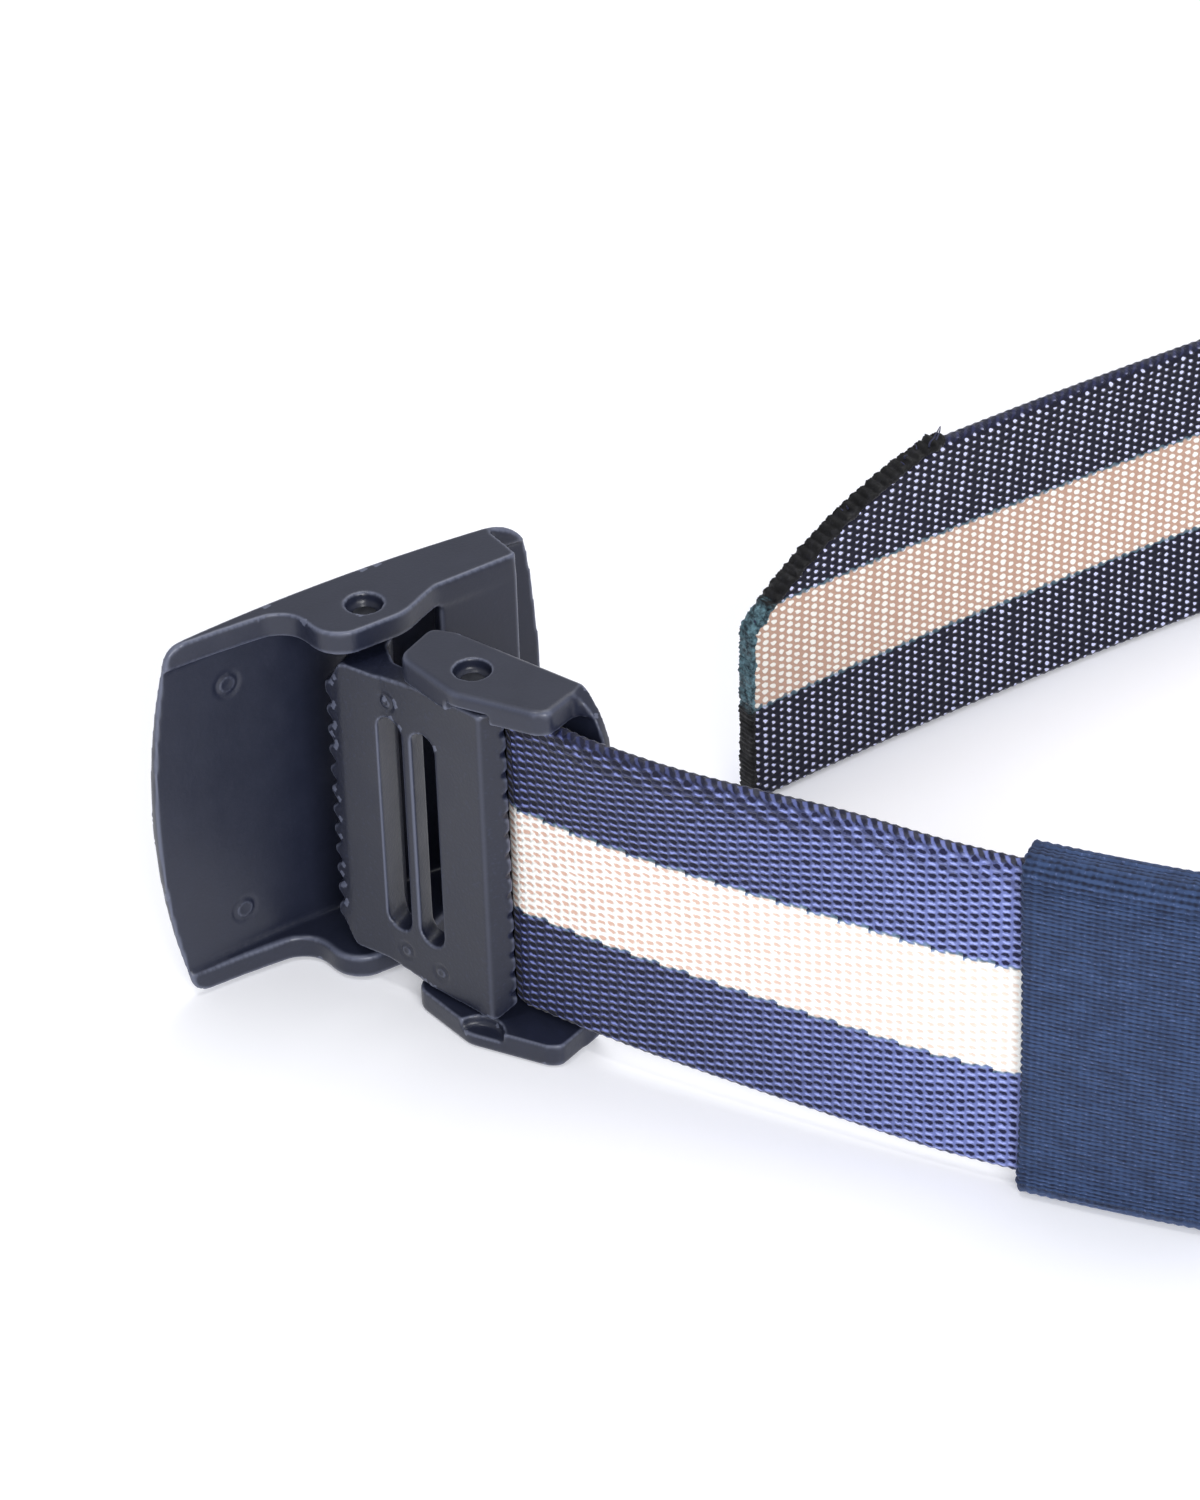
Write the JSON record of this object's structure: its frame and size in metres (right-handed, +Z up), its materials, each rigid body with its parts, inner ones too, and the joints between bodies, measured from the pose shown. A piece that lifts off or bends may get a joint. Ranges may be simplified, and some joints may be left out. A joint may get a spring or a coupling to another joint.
{
  "type": "gait belt",
  "caption": "Long striped webbing waist belt standing on edge, with a hinged three-piece cam buckle shown open, an elastic keeper and a slanted free end.",
  "frame": {"origin": "middle of the belt's footprint, on the surface that it stands on", "axes": "+X along the loop away from the buckle, +Y from the buckle's open side across the loop, +Z up the width of the webbing"},
  "size_m": [0.582, 0.2978, 0.0442],
  "materials": {
    "buckle_plastic": "satin moulded plastic, fine grain",
    "lever_plastic": "satin moulded plastic, speckled grain",
    "pin_steel": "dull drawn steel",
    "webbing": "woven nylon, navy with a cream middle stripe",
    "elastic": "ribbed woven elastic",
    "thread": "sewing thread"
  },
  "bodies": {
    "belt": {"webbing_strap": "webbing", "rear_frame": "buckle_plastic"},
    "lever": {"cam_lever": "lever_plastic", "frame_hinge_pin": "pin_steel", "cover_hinge_pin": "pin_steel"},
    "cover": {"buckle_cover": "buckle_plastic"},
    "keeper": {"keeper_band": "elastic", "keeper_thread": "thread"}
  },
  "joints": [
    {"name": "frame_hinge", "type": "hinge", "parent": "belt", "child": "lever", "pos_m": [-0.25736, -0.0654, 0.0221], "axis": [0, 0, 1], "range_deg": [-30, 28]},
    {"name": "cover_hinge", "type": "hinge", "parent": "lever", "child": "cover", "pos_m": [-0.26835, -0.0523, 0.0221], "axis": [0, 0, 1], "range_deg": [-35, 84]},
    {"name": "keeper_slide", "type": "hinge", "parent": "belt", "child": "keeper", "pos_m": [-0.11064, 0.11582, 0.02], "axis": [0, 0, 1], "range_deg": [-2, 5.5]}
  ]
}
